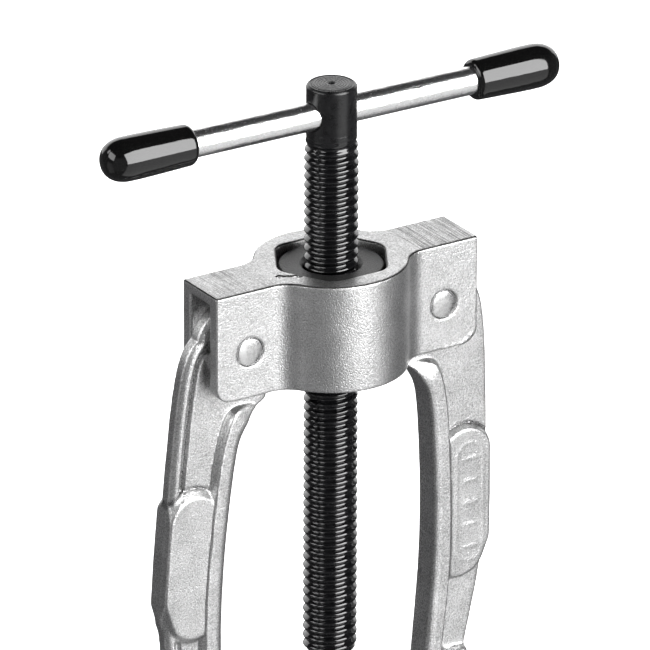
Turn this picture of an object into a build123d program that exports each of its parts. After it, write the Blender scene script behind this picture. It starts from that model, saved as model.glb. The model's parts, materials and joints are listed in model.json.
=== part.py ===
from build123d import *
import math
import os

# Two-jaw gear puller. Millimetres, +Z up along the spindle, +X along the yoke, +Y through it.
# The origin is on the spindle's axis, at the level that the jaw hooks stand on.

# Jaws, drawn from the centre of their pivot pin: first number outwards, second number up
PIVOT_REACH = 37.84
PIN_RADIUS = 5.0
LEFT_JAW_SPREAD = 4.5
JAW_THICKNESS = 11.0
EYE_THICKNESS = 11.4
FLANGE_THICKNESS_AT_CROWN = 12.4
FLANGE_CROWN_WIDTH = 2.6
EYE_RADIUS = 12.3
HEAD_RADIUS = 14.2
HEAD_OFFSET = 1.7
WEB_THICKNESS = 4.6
RIM_RISE = 1.2
RIM_WIDTH = 4.0
PAD_THICKNESS = 9.8
PAD_RELIEF = 0.3
PAD_BORDER_MIDDLE = (14.4, -76.75)
PAD_BORDER_LENGTH = 32.5
PAD_BORDER_RADIUS = 5.2
PAD_BORDER_WIDTH = 0.7
PAD_RIB_HEIGHTS = (-61.0, -69.0, -77.0, -85.0, -93.0)
PAD_RIB_LENGTH = 5.6
PAD_RIB_WIDTH = 1.2
GRIP_DROP = 150.0
HOOK_DEPTH = 11.0
HOOK_TIP_REACH = 19.0
HOOK_TIP_ROUND = 4.0
HOOK_TIP_EDGE = 1.2
HOOK_BEND = 5.0
HEEL_ROUND = 9.0

# Pivot pins, riveted over at both ends
PIN_HEAD_RADIUS = 5.3
PIN_HEAD_DEPTH = 0.8
PIN_DOME_RADIUS = 4.2
PIN_DOME_HEIGHT = 0.5

# Yoke
YOKE_LENGTH = 102.0
YOKE_HEIGHT = 38.0
WING_THICKNESS = 21.0
BOSS_RADIUS = 25.76
BOSS_BLEND = 10.0
WING_CORNER = 6.4
CHANNEL_WIDTH = 11.7
CHANNEL_ROOF = 3.6
CHANNEL_START = 24.2
CHANNEL_CORNER = 3.0
PIN_DROP = 21.65
HEX_ACROSS_FLATS = 36.0
HEX_CORNER = 6.5

# Nut, with its flange in a counterbore under the hex pocket
NUT_ACROSS_FLATS = 35.6
NUT_TOP_DROP = 2.0
NUT_CORNER = 7.5
NUT_COLLAR_RADIUS = 17.4
NUT_COLLAR_DROP = 6.0
THREAD_MOUTH = 1.3
FLANGE_RADIUS = 21.7
FLANGE_THICKNESS = 6.0
COUNTERBORE_DEPTH = 10.0
RING_THICKNESS = 1.5
RING_RADIUS = 22.7
RING_GAP = 9.0
RING_WIDTH = 2.4
RING_LUG_RADIUS = 2.4
RING_EYE_RADIUS = 0.9

# Spindle, a knuckle thread of 1/8 inch pitch
THREAD_RADIUS = 9.0
THREAD_DEPTH = 1.3
PITCH = 3.175
CREST_WIDTH = 0.95
THREAD_CHAMFER = 1.5
HEAD_BOTTOM = 44.6
HEAD_TOP = 61.7
SPINDLE_HEAD_RADIUS = 8.5
HEAD_CHAMFER = 0.9
HEAD_CENTRE_MARK = 1.2
BAR_HEIGHT = 51.5
THREAD_END = -141.0

# Live centre in the spindle's end
TIP_SHANK_RADIUS = 3.0
TIP_SHANK_LENGTH = 9.0
TIP_COLLAR_RADIUS = 6.6
TIP_COLLAR_LENGTH = 4.6
TIP_CONE_LENGTH = 7.4
TIP_FLAT_RADIUS = 2.0
TIP_NECK_RADIUS = 2.6
TIP_RING_RISE = 5.0
TIP_RING_THICKNESS = 0.8
TIP_RING_RADIUS = 3.5
BALL_RADIUS = 3.0

# T-bar and its caps
BAR_RADIUS = 4.75
BAR_HALF_LENGTH = 83.0
BAR_TURN = -1.0
BAR_CHAMFER = 0.8
CAP_MOUTH = 53.7
CAP_LIP = 1.2
CAP_END = 87.0
CAP_MOUTH_RADIUS = 6.9
CAP_BODY_RADIUS = 7.5
CAP_NOSE_LENGTH = 7.5

# Clearances on the radius: between pieces that move on each other, and between pieces that don't
RUNNING_FIT = 0.05
STATIC_FIT = 0.02

# Heights that follow: the spread jaw's rounded hook tip is the lowest point
SPREAD = math.radians(LEFT_JAW_SPREAD)
TIP_ROUND_X = PIVOT_REACH - HOOK_TIP_REACH - HOOK_TIP_ROUND
TIP_ROUND_Z = GRIP_DROP + HOOK_DEPTH - HOOK_TIP_ROUND
PIN_HEIGHT = TIP_ROUND_X * math.sin(SPREAD) + TIP_ROUND_Z * math.cos(SPREAD) + HOOK_TIP_ROUND
YOKE_TOP = PIN_HEIGHT + PIN_DROP
YOKE_BOTTOM = YOKE_TOP - YOKE_HEIGHT


def upright(sketch, thickness):
    """A sketch drawn as X and Z, made into a plate with its middle at Y = 0."""
    return extrude(Plane.XZ * sketch, amount=thickness / 2, both=True)


def turned(points):
    """A solid of revolution about the spindle's axis, from (radius, height above the yoke's top) points."""
    outline = Polyline(*[(r, z + YOKE_TOP) for r, z in points], close=True)
    return revolve(Plane.XZ * make_face(outline), axis=Axis.Z)


def disc(radius, bottom, top):
    """A round slug about the spindle's axis, between two heights above the yoke's top."""
    return Pos(0, 0, YOKE_TOP + (bottom + top) / 2) * Cylinder(radius, top - bottom)


def cross_cylinder(radius, x, z, length):
    """A cylinder along Y, at a height above the base."""
    return Pos(x, 0, z) * Rot(90, 0, 0) * Cylinder(radius, length)


def rounded_hexagon(across_flats, corner):
    sketch = RegularPolygon(across_flats / 2, 6, major_radius=False)
    return fillet(sketch.vertices(), corner)


# ---- yoke ----

def yoke():
    """A round boss with two wings, which are channels open below and at their outer ends."""
    plan = Circle(BOSS_RADIUS) + Rectangle(YOKE_LENGTH, WING_THICKNESS)
    waist = [v for v in plan.vertices() if abs(v.X) < YOKE_LENGTH / 2 - 1]
    plan = fillet(waist, BOSS_BLEND)
    body = Pos(0, 0, YOKE_BOTTOM) * extrude(plan, YOKE_HEIGHT)
    ends = body.edges().filter_by(Axis.Y).group_by(Axis.Z)[0]
    body = fillet(ends, WING_CORNER)
    body -= wing_channels()
    hexagon = rounded_hexagon(HEX_ACROSS_FLATS, HEX_CORNER)
    body -= Pos(0, 0, YOKE_BOTTOM) * extrude(hexagon, YOKE_HEIGHT)
    counterbore_radius = FLANGE_RADIUS + 2 * RUNNING_FIT
    body -= disc(counterbore_radius, -YOKE_HEIGHT, COUNTERBORE_DEPTH - YOKE_HEIGHT)
    body -= disc(RING_RADIUS + STATIC_FIT, *ring_heights(STATIC_FIT))
    for side in (-1, 1):
        body -= pivot_pin(side, STATIC_FIT, 0.0)
    return body


def wing_channels():
    """The two channels, each with rounded inner corners under the roof."""
    length = YOKE_LENGTH / 2 - CHANNEL_START
    depth = YOKE_HEIGHT - CHANNEL_ROOF
    over = 5.0
    block = Box(length + over, CHANNEL_WIDTH, depth + over)
    middle_x = CHANNEL_START + (length + over) / 2
    middle_z = YOKE_BOTTOM + (depth - over) / 2
    inner_top = block.edges().filter_by(Axis.Y).group_by(Axis.Z)[-1].sort_by(Axis.X)[0]
    block = fillet(inner_top, CHANNEL_CORNER)
    right = Pos(middle_x, 0, middle_z) * block
    return right + mirror(right, about=Plane.YZ)


# ---- pivot pins ----

def pivot_pin(side, extra, dome):
    """A riveted pin, swollen at both ends, with a low dome. The same shape, a little larger, is its hole."""
    end = WING_THICKNESS / 2
    rim = PIN_HEAD_RADIUS + extra
    shank = PIN_RADIUS + extra
    half = Polyline(
        (0, 0), (shank, 0), (shank, end - PIN_HEAD_DEPTH), (rim, end), (PIN_DOME_RADIUS, end), (0, end),
        close=True
    )
    pin = revolve(make_face(half), axis=Axis.Y)
    if dome:
        ball = (PIN_DOME_RADIUS**2 + dome**2) / (2 * dome)
        cap = Pos(0, end + dome - ball, 0) * Sphere(ball)
        pin += cap & (Pos(0, end + dome / 2, 0) * Box(4 * rim, dome, 4 * rim))
    pin += mirror(pin, about=Plane.XZ)
    return Pos(side * PIVOT_REACH, 0, PIN_HEIGHT) * pin


# ---- nut and its ring ----

def spindle_nut():
    """A hexagon turned round at its top, and a round flange below that pulls up against the yoke."""
    flange_top = COUNTERBORE_DEPTH - YOKE_HEIGHT - STATIC_FIT
    flange_bottom = flange_top - FLANGE_THICKNESS
    hexagon = rounded_hexagon(NUT_ACROSS_FLATS, NUT_CORNER)
    hex_top = -NUT_COLLAR_DROP
    body = Pos(0, 0, YOKE_TOP + flange_top) * extrude(hexagon, hex_top - flange_top)
    body += disc(NUT_COLLAR_RADIUS, hex_top, -NUT_TOP_DROP)
    body += disc(FLANGE_RADIUS, flange_bottom, flange_top)
    bore = THREAD_RADIUS + RUNNING_FIT
    mouth = bore + THREAD_MOUTH
    return body - turned([
        (0, flange_bottom - 1), (mouth + 1, flange_bottom - 1), (bore, flange_bottom + THREAD_MOUTH),
        (bore, -NUT_TOP_DROP - THREAD_MOUTH), (mouth + 1, 1 - NUT_TOP_DROP), (0, 1 - NUT_TOP_DROP)
    ])


def ring_heights(extra):
    """Bottom and top of the nut's snap ring, below the yoke's top."""
    top = COUNTERBORE_DEPTH - YOKE_HEIGHT - FLANGE_THICKNESS - 0.1
    return top - RING_THICKNESS - extra, top + extra


def nut_retaining_ring():
    """An internal snap ring, open at the back, with an eye at each end for the pliers."""
    bottom, top = ring_heights(0)
    ring = disc(RING_RADIUS, bottom, top) - disc(RING_RADIUS - RING_WIDTH, bottom - 1, top + 1)
    ring -= Pos(0, RING_RADIUS, YOKE_TOP + bottom) * Box(RING_GAP, 4 * RING_WIDTH, 4 * RING_THICKNESS)
    middle = YOKE_TOP + (bottom + top) / 2
    for side in (-1, 1):
        x = side * (RING_GAP / 2 + RING_LUG_RADIUS)
        y = RING_RADIUS - 1.5 * RING_WIDTH
        ring += Pos(x, y, middle) * Cylinder(RING_LUG_RADIUS, RING_THICKNESS)
        ring -= Pos(x, y, middle) * Cylinder(RING_EYE_RADIUS, 4 * RING_THICKNESS)
    return ring


# ---- jaws ----

def jaw_outline():
    """The whole jaw seen from the front: eye with a stop lug under it, bowed arm and hook."""
    head_left = (HEAD_OFFSET - HEAD_RADIUS, 0)
    head_right = (15.6, 2.95)
    inner_end = (-2.9, -136.0)
    outer_end = (12.6, -134.0)
    tip_x = HOOK_TIP_REACH - PIVOT_REACH
    bottom = -GRIP_DROP - HOOK_DEPTH
    inner = Spline(
        head_left, (-12.2, -9.0), (-11.8, -15.0), (-12.0, -17.2), (-12.9, -19.2), (-12.4, -20.9),
        (-10.2, -22.6), (-7.6, -24.4), (-5.4, -27.4), (-2.1, -34.6), (-0.5, -50.0), (0.4, -74.0),
        (0.0, -95.0), (-1.1, -110.7), inner_end,
        tangents=[(0.02, -1), (-0.09, -1)]
    )
    hook = FilletPolyline(
        inner_end, (-4.1, -GRIP_DROP), (tip_x, -GRIP_DROP), (tip_x, bottom), (6.0, bottom), outer_end,
        radius=[HOOK_BEND, HOOK_TIP_EDGE, HOOK_TIP_ROUND, HEEL_ROUND]
    )
    outer = Spline(
        outer_end, (16.2, -121.0), (18.9, -109.0), (20.3, -101.2), (22.0, -96.5), (22.5, -90.0),
        (22.7, -76.0), (22.6, -55.0), (22.2, -36.0), (21.6, -20.0), (20.4, -8.0), (18.6, -1.5), head_right,
        tangents=[(0.24, 1), (-0.8, 1)]
    )
    crown = ThreePointArc(head_right, (HEAD_OFFSET, HEAD_RADIUS), head_left)
    return make_face([inner, hook, outer, crown])


def pad_outline():
    """The raised pad: an arch above, another below, and the arm's own edge on its outer side."""
    arches = make_face([
        ThreePointArc((2.2, -57.9), (13.0, -49.2), (23.0, -55.6)),
        Line((23.0, -55.6), (26.5, -64.0)),
        Line((26.5, -64.0), (26.5, -84.0)),
        Line((26.5, -84.0), (20.3, -98.4)),
        ThreePointArc((20.3, -98.4), (10.6, -104.2), (-0.3, -94.7)),
        Line((-0.3, -94.7), (2.2, -57.9))
    ])
    return arches & jaw_outline()


def web_area(rim_width):
    """The recessed arm, between the inner flange and a rim of the given width on the outer edge."""
    flange = Spline(
        (-16.0, -24.8), (-9.6, -23.6), (-4.6, -22.2), (1.4, -25.0), (4.8, -38.0), (6.2, -58.0), (6.8, -82.0),
        (6.1, -103.0), (3.4, -127.0)
    )
    side = 0.0 if rim_width else 12.0
    shift = side - rim_width
    rim = Spline(
        (13.6 + shift, -128.0), (18.9 + shift, -110.0), (22.7 + shift, -76.0), (22.2 + shift, -36.0),
        (20.4 + shift, -8.0), (17.6 + shift, 2.0)
    )
    low = ThreePointArc(flange @ 1, (6.6 + side / 2, -132.0), rim @ 0)
    top = 2.0 if rim_width else HEAD_RADIUS + 2.0
    high = Polyline(rim @ 1, ((rim @ 1).X, top + 0.1), (-16.0, top), flange @ 0)
    return make_face([flange, low, rim, high])


def flange_crown():
    """The middle of the inner flange, which is thicker than its edges."""
    middle = Spline((-0.6, -31.0), (2.2, -50.0), (3.2, -74.0), (2.9, -95.0), (2.0, -110.0), (0.6, -126.0))
    return trace(middle, FLANGE_CROWN_WIDTH)


def jaw_blank():
    """One jaw with its pivot pin's centre at the origin, standing to the right of the spindle."""
    blank = upright(jaw_outline(), JAW_THICKNESS)
    pad = pad_outline()
    kept = pad + Circle(EYE_RADIUS)
    blank -= past(web_area(0.0) - kept, WEB_THICKNESS / 2 + RIM_RISE, 1)
    blank -= past(web_area(0.0) - kept, WEB_THICKNESS / 2, -1)
    blank -= past(web_area(RIM_WIDTH) - kept, WEB_THICKNESS / 2, 1)
    for face in (-1, 1):
        blank -= past(pad, PAD_THICKNESS / 2, face)
    blank += upright(flange_crown(), FLANGE_THICKNESS_AT_CROWN)
    blank += cross_cylinder(EYE_RADIUS, 0, 0, EYE_THICKNESS)
    blank -= cross_cylinder(PIN_RADIUS + RUNNING_FIT, 0, 0, 2 * JAW_THICKNESS)
    return blank + pad_border()


def past(sketch, height, face):
    """What lies further out than a height above the middle plane, on the +Y face (1) or the -Y face (-1)."""
    layer = extrude(Plane.XZ * sketch, amount=JAW_THICKNESS)
    outside = Pos(0, -height, 0) * layer
    return mirror(outside, about=Plane.XZ) if face > 0 else outside


def pad_border():
    """A plain raised border with five cross ribs on the pad's front face, on one side of the jaw only."""
    at = Pos(*PAD_BORDER_MIDDLE) * Rot(0, 0, 90)
    half = PAD_BORDER_WIDTH / 2
    border = at * SlotCenterToCenter(PAD_BORDER_LENGTH, 2 * (PAD_BORDER_RADIUS + half))
    border -= at * SlotCenterToCenter(PAD_BORDER_LENGTH, 2 * (PAD_BORDER_RADIUS - half))
    for height in PAD_RIB_HEIGHTS:
        border += Pos(PAD_BORDER_MIDDLE[0], height) * SlotOverall(PAD_RIB_LENGTH, PAD_RIB_WIDTH)
    raised = extrude(Plane.XZ * border, amount=PAD_RELIEF)
    return Pos(0, -PAD_THICKNESS / 2, 0) * raised


def right_jaw():
    return Pos(PIVOT_REACH, 0, PIN_HEIGHT) * jaw_blank()


def left_jaw():
    """The same jaw, turned half round and spread outwards on its pin."""
    return Pos(-PIVOT_REACH, 0, PIN_HEIGHT) * Rot(0, LEFT_JAW_SPREAD, 0) * Rot(0, 0, 180) * jaw_blank()


# ---- spindle ----

def thread_profile():
    """Half the spindle's section: flat crests and round grooves, one for each pitch."""
    top = YOKE_TOP + HEAD_BOTTOM
    bottom = YOKE_TOP + THREAD_END
    groove = PITCH - CREST_WIDTH
    count = int((top - bottom - THREAD_CHAMFER - 1) / PITCH)
    root = THREAD_RADIUS - THREAD_DEPTH
    edges = []
    z = top
    edges.append(Line((0, z), (THREAD_RADIUS, z)))
    for _ in range(count):
        edges.append(Line((THREAD_RADIUS, z), (THREAD_RADIUS, z - CREST_WIDTH)))
        z -= CREST_WIDTH
        edges.append(ThreePointArc((THREAD_RADIUS, z), (root, z - groove / 2), (THREAD_RADIUS, z - groove)))
        z -= groove
    edges.append(Line((THREAD_RADIUS, z), (THREAD_RADIUS, bottom + THREAD_CHAMFER)))
    edges.append(Line((THREAD_RADIUS, bottom + THREAD_CHAMFER), (THREAD_RADIUS - THREAD_CHAMFER, bottom)))
    edges.append(Line((THREAD_RADIUS - THREAD_CHAMFER, bottom), (0, bottom)))
    edges.append(Line((0, bottom), (0, top)))
    return make_face(edges)


def spindle():
    """Screw, head with a cross hole, and a blind bore in the lower end for the live centre."""
    body = revolve(Plane.XZ * thread_profile(), axis=Axis.Z)
    body += turned([
        (0, HEAD_BOTTOM), (SPINDLE_HEAD_RADIUS, HEAD_BOTTOM), (SPINDLE_HEAD_RADIUS, HEAD_TOP - HEAD_CHAMFER),
        (SPINDLE_HEAD_RADIUS - HEAD_CHAMFER, HEAD_TOP), (HEAD_CENTRE_MARK, HEAD_TOP),
        (0, HEAD_TOP - HEAD_CENTRE_MARK)
    ])
    hole = Rot(0, 0, BAR_TURN) * Rot(0, 90, 0) * Cylinder(BAR_RADIUS + RUNNING_FIT, 4 * SPINDLE_HEAD_RADIUS)
    body -= Pos(0, 0, YOKE_TOP + BAR_HEIGHT) * hole
    body -= disc(TIP_SHANK_RADIUS + RUNNING_FIT, THREAD_END - 1, ball_middle() + BALL_RADIUS)
    low, high = tip_ring_heights(STATIC_FIT)
    return body - disc(TIP_RING_RADIUS + STATIC_FIT, low, high)


# ---- live centre ----

def ball_middle():
    """Height of the thrust ball's centre below the yoke's top."""
    return THREAD_END + TIP_SHANK_LENGTH + BALL_RADIUS + 2 * STATIC_FIT


def tip_ring_heights(extra):
    """Bottom and top of the wire ring that holds the live centre's shank."""
    middle = THREAD_END + TIP_RING_RISE
    return middle - TIP_RING_THICKNESS / 2 - extra, middle + TIP_RING_THICKNESS / 2 + extra


def centre_tip():
    """Shank with a ring groove, round collar, and a cone with a small flat."""
    low, high = tip_ring_heights(0.2)
    shoulder = THREAD_END - 0.2
    collar = shoulder - TIP_COLLAR_LENGTH
    return turned([
        (0, THREAD_END + TIP_SHANK_LENGTH), (TIP_SHANK_RADIUS - 0.5, THREAD_END + TIP_SHANK_LENGTH),
        (TIP_SHANK_RADIUS, THREAD_END + TIP_SHANK_LENGTH - 0.5), (TIP_SHANK_RADIUS, high),
        (TIP_NECK_RADIUS, high),
        (TIP_NECK_RADIUS, low), (TIP_SHANK_RADIUS, low), (TIP_SHANK_RADIUS, shoulder),
        (TIP_COLLAR_RADIUS - 0.6, shoulder), (TIP_COLLAR_RADIUS, shoulder - 0.6), (TIP_COLLAR_RADIUS, collar),
        (TIP_FLAT_RADIUS, collar - TIP_CONE_LENGTH), (0, collar - TIP_CONE_LENGTH)
    ])


def thrust_ball():
    return Pos(0, 0, YOKE_TOP + ball_middle()) * Sphere(BALL_RADIUS)


def tip_retaining_ring():
    """A wire ring with a gap, sprung into the groove in the spindle's bore."""
    low, high = tip_ring_heights(0)
    ring = disc(TIP_RING_RADIUS, low, high) - disc(TIP_NECK_RADIUS + 0.1, low - 1, high + 1)
    return ring - Pos(0, TIP_RING_RADIUS, YOKE_TOP + low) * Box(1.0, 3.0, 4.0)


# ---- T-bar ----

def along_bar(shape):
    """Moves a shape drawn about +Z at the origin onto the T-bar's axis, with +Z to the right."""
    return Pos(0, 0, YOKE_TOP + BAR_HEIGHT) * Rot(0, 0, BAR_TURN) * Rot(0, 90, 0) * shape


def tommy_bar():
    bar = Cylinder(BAR_RADIUS, 2 * BAR_HALF_LENGTH)
    bar = chamfer(bar.edges().filter_by(GeomType.CIRCLE), BAR_CHAMFER)
    return along_bar(bar)


def grip_cap(side):
    """A moulded cap: a slightly flared sleeve with a rolled mouth and a round nose."""
    nose_start = CAP_END - CAP_NOSE_LENGTH
    inside = BAR_RADIUS + STATIC_FIT
    bottom = BAR_HALF_LENGTH + STATIC_FIT
    half_turn = CAP_LIP * (1 - math.sqrt(0.5))
    outline = [
        Line((inside, CAP_MOUTH), (CAP_MOUTH_RADIUS - CAP_LIP, CAP_MOUTH)),
        ThreePointArc(
            (CAP_MOUTH_RADIUS - CAP_LIP, CAP_MOUTH), (CAP_MOUTH_RADIUS - half_turn, CAP_MOUTH + half_turn),
            (CAP_MOUTH_RADIUS, CAP_MOUTH + CAP_LIP)
        ),
        Line((CAP_MOUTH_RADIUS, CAP_MOUTH + CAP_LIP), (CAP_BODY_RADIUS, nose_start)),
        Spline((CAP_BODY_RADIUS, nose_start), (5.9, CAP_END - 2.6), (0, CAP_END), tangents=[(0, 1), (-1, 0)]),
        Line((0, CAP_END), (0, bottom)),
        Line((0, bottom), (inside, bottom)),
        Line((inside, bottom), (inside, CAP_MOUTH)),
    ]
    cap = revolve(Plane.XZ * make_face(outline), axis=Axis.Z)
    if side < 0:
        cap = mirror(cap, about=Plane.XY)
    return along_bar(cap)


NODES = {
    "yoke": yoke(),
    "left_pivot_pin": pivot_pin(-1, 0.0, PIN_DOME_HEIGHT),
    "right_pivot_pin": pivot_pin(1, 0.0, PIN_DOME_HEIGHT),
    "spindle_nut": spindle_nut(),
    "nut_retaining_ring": nut_retaining_ring(),
    "left_jaw": left_jaw(),
    "right_jaw": right_jaw(),
    "spindle": spindle(),
    "centre_tip": centre_tip(),
    "thrust_ball": thrust_ball(),
    "tip_retaining_ring": tip_retaining_ring(),
    "tommy_bar": tommy_bar(),
    "left_grip_cap": grip_cap(-1),
    "right_grip_cap": grip_cap(1),
}

os.makedirs("parts", exist_ok=True)
for name, shape in NODES.items():
    export_step(shape, f"parts/{name}.step")
print(f"pin height {PIN_HEIGHT:.3f}, yoke top {YOKE_TOP:.3f}, overall height {YOKE_TOP + HEAD_TOP:.3f}")
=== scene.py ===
"""A two-jaw gear puller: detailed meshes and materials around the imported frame.

Shapes are worked out in millimetres and written to the meshes in metres. The forged and machined pieces,
the nut and the spindle's head are distance fields, sampled on a grid and skinned, so that their edges and
corners are rounded as on the real thing. The pins, the T-bar and its caps are lathed, and the thread is
swept.
"""
import json
import math

import bpy
import numpy as np
from mathutils import Matrix, Vector, noise


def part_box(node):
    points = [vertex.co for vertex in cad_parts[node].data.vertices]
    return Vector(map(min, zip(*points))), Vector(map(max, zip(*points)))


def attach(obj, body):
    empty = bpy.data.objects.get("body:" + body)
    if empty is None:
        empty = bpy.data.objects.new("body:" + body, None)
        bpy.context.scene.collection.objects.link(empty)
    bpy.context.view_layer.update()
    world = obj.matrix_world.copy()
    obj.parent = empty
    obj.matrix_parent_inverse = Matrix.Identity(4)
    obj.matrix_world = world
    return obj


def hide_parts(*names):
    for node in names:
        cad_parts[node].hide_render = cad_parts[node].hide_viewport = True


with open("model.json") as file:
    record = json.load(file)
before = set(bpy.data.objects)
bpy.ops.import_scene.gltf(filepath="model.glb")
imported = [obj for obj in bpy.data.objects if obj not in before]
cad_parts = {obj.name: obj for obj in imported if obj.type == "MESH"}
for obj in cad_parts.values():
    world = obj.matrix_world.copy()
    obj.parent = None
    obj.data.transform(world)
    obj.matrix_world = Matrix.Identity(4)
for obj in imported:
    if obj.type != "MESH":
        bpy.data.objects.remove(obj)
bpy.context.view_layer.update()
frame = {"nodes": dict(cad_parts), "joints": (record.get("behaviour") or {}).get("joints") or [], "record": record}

MM = 0.001
NODES = frame["nodes"]
JOINTS = {joint["name"]: joint for joint in frame["joints"]}
MOUNTS = {mount["name"]: mount for mount in frame["record"]["mounts"]}


def box_mm(node):
    """Lowest and highest corner of a CAD node, in millimetres."""
    low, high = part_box(node)
    return low / MM, high / MM


YOKE_LOW, YOKE_HIGH = box_mm("yoke")
SPINDLE_LOW, SPINDLE_HIGH = box_mm("spindle")
BAR_LOW, BAR_HIGH = box_mm("tommy_bar")
TOP = YOKE_HIGH.z
PIN_X = JOINTS["right_jaw_swing"]["pos_m"][0] / MM
PIN_Z = JOINTS["right_jaw_swing"]["pos_m"][2] / MM
BAR_AXIS = Vector(JOINTS["bar_slide"]["axis"])
BAR_Z = (BAR_LOW.z + BAR_HIGH.z) / 2
BAR_RADIUS = (BAR_HIGH.z - BAR_LOW.z) / 2
LEFT_GRIP = MOUNTS["left_hook_grip_face"]["axis"]
LEFT_TILT = math.atan2(LEFT_GRIP[0], LEFT_GRIP[2])
GRIP_DROP = PIN_Z - MOUNTS["right_hook_grip_face"]["pos_m"][2] / MM


# ---- distance fields: negative inside, in millimetres ----

def round_and(a, b, radius):
    """Where both shapes are, with the edge between them rounded off."""
    outside = np.hypot(np.maximum(a + radius, 0), np.maximum(b + radius, 0))
    return np.minimum(np.maximum(a, b), -radius) + outside


def round_or(a, b, radius):
    """Where either shape is, with a fillet between them."""
    return -round_and(-a, -b, radius)


def soft_min(a, b, blend):
    """The lesser of two values, blended where they are about equal."""
    share = np.clip(0.5 + 0.5 * (b - a) / blend, 0, 1)
    return b + (a - b) * share - blend * share * (1 - share)


def smooth(t):
    """0 to 1 as t goes from 0 to 1, with no corner at either end."""
    t = np.clip(t, 0.0, 1.0)
    return t * t * (3 - 2 * t)


def polygon_field(points, u, v):
    """Signed distance from a closed outline of (u, v) points."""
    nearest = np.full(np.broadcast(u, v).shape, 1e9, np.float32)
    crossed = np.zeros(nearest.shape, bool)
    for (u0, v0), (u1, v1) in zip(points, points[1:] + points[:1]):
        du, dv = u1 - u0, v1 - v0
        along = np.clip(((u - u0) * du + (v - v0) * dv) / (du * du + dv * dv), 0, 1)
        nearest = np.minimum(nearest, (u - u0 - along * du) ** 2 + (v - v0 - along * dv) ** 2)
        spans = (v0 > v) != (v1 > v)
        if dv:
            crossed ^= spans & (u < u0 + (v - v0) * du / dv)
    return np.where(crossed, -1, 1) * np.sqrt(nearest)


def hex_field(u, v, flat, corner):
    """A hexagon with points along u, half its size across flats given, and its corners rounded."""
    side = (flat - corner) / math.cos(math.radians(30))
    ring = [(side * math.cos(math.radians(a)), side * math.sin(math.radians(a))) for a in range(0, 360, 60)]
    return polygon_field(ring, u, v) - corner


def curve_through(points, steps=8):
    """A smooth line through a few points, with the given number of steps between each two."""
    ends = [points[0]] + list(points) + [points[-1]]
    line = []
    for a, b, c, d in zip(ends, ends[1:], ends[2:], ends[3:]):
        for i in range(steps):
            t = i / steps
            line.append(tuple(
                b[k] + 0.5 * t * (c[k] - a[k] + t * (2 * a[k] - 5 * b[k] + 4 * c[k] - d[k]
                                                     + t * (3 * (b[k] - c[k]) + d[k] - a[k])))
                for k in (0, 1)
            ))
    return line + [tuple(points[-1])]


def arc(centre, radius, start, end, steps=12):
    """Points on a circle, from one angle to another, in degrees."""
    angles = [math.radians(start + (end - start) * i / steps) for i in range(steps + 1)]
    return [(centre[0] + radius * math.cos(a), centre[1] + radius * math.sin(a)) for a in angles]


def grid(low, high, step):
    """Sample points along each axis, shaped so that x, y and z broadcast to a block."""
    axes = [np.arange(a - 2 * step, b + 2.5 * step, step, dtype=np.float32) for a, b in zip(low, high)]
    return axes[0][:, None, None], axes[1][None, :, None], axes[2][None, None, :]


def skin(field, x, y, z):
    """Vertices and outward quads where the field is 0, with one vertex in each cell that it crosses."""
    inside = field < 0
    corners = [(i, j, k) for i in (0, 1) for j in (0, 1) for k in (0, 1)]
    shape = [n - 1 for n in field.shape]
    filled = sum(
        inside[i:i + shape[0], j:j + shape[1], k:k + shape[2]].astype(np.uint8) for i, j, k in corners
    )
    active = (filled > 0) & (filled < 8)
    cells = np.argwhere(active)
    index = np.full(active.shape, -1, np.int32)
    index[active] = np.arange(len(cells))
    total = np.zeros((len(cells), 3))
    count = np.zeros((len(cells), 1))
    for a in corners:
        for axis in range(3):
            if a[axis]:
                continue
            b = tuple(1 if n == axis else a[n] for n in range(3))
            value_a = field[tuple((cells + a).T)]
            value_b = field[tuple((cells + b).T)]
            crosses = (value_a < 0) != (value_b < 0)
            share = value_a[crosses] / (value_a[crosses] - value_b[crosses])
            point = np.tile(np.array(a, float), (crosses.sum(), 1))
            point[:, axis] = share
            total[crosses] += point
            count[crosses] += 1
    step = float(x[1, 0, 0] - x[0, 0, 0])
    origin = np.array([x[0, 0, 0], y[0, 0, 0], z[0, 0, 0]], float)
    verts = (cells + total / count) * step + origin
    quads = []
    for axis in range(3):
        u, v = (axis + 1) % 3, (axis + 2) % 3
        first = [slice(None)] * 3
        second = [slice(None)] * 3
        first[axis], second[axis] = slice(None, -1), slice(1, None)
        edges = np.argwhere(inside[tuple(first)] != inside[tuple(second)])
        leaves = inside[tuple(edges.T)]
        ring = []
        for du, dv in ((1, 1), (0, 1), (0, 0), (1, 0)):
            cell = edges.copy()
            cell[:, u] -= du
            cell[:, v] -= dv
            ring.append(index[tuple(cell.T)])
        faces = np.stack(ring, axis=1)
        faces[~leaves] = faces[~leaves][:, ::-1]
        quads.append(faces)
    return verts, np.concatenate(quads)


# ---- meshes ----

def mesh_piece(name, verts, faces, material, matrix=Matrix.Identity(4)):
    """A smooth-shaded object from vertices in millimetres and a list of faces."""
    data = bpy.data.meshes.new(name)
    data.from_pydata((np.asarray(verts) * MM).tolist(), [], faces)
    data.transform(matrix)
    data.shade_smooth()
    data.materials.append(material)
    piece = bpy.data.objects.new(name, data)
    bpy.context.scene.collection.objects.link(piece)
    return piece


def roughen(verts, normals, amount, size, seed, where=None):
    """Moves vertices along their normals by a slow, even noise: a forging's skin is never quite true."""
    shift = Vector((seed * 17.0, seed * 5.0, seed * 11.0))
    lumps = np.array([noise.noise(Vector(v) / size + shift) for v in verts])
    if where is not None:
        lumps = lumps * where(verts)
    return verts + normals * (lumps * amount)[:, None]


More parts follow.
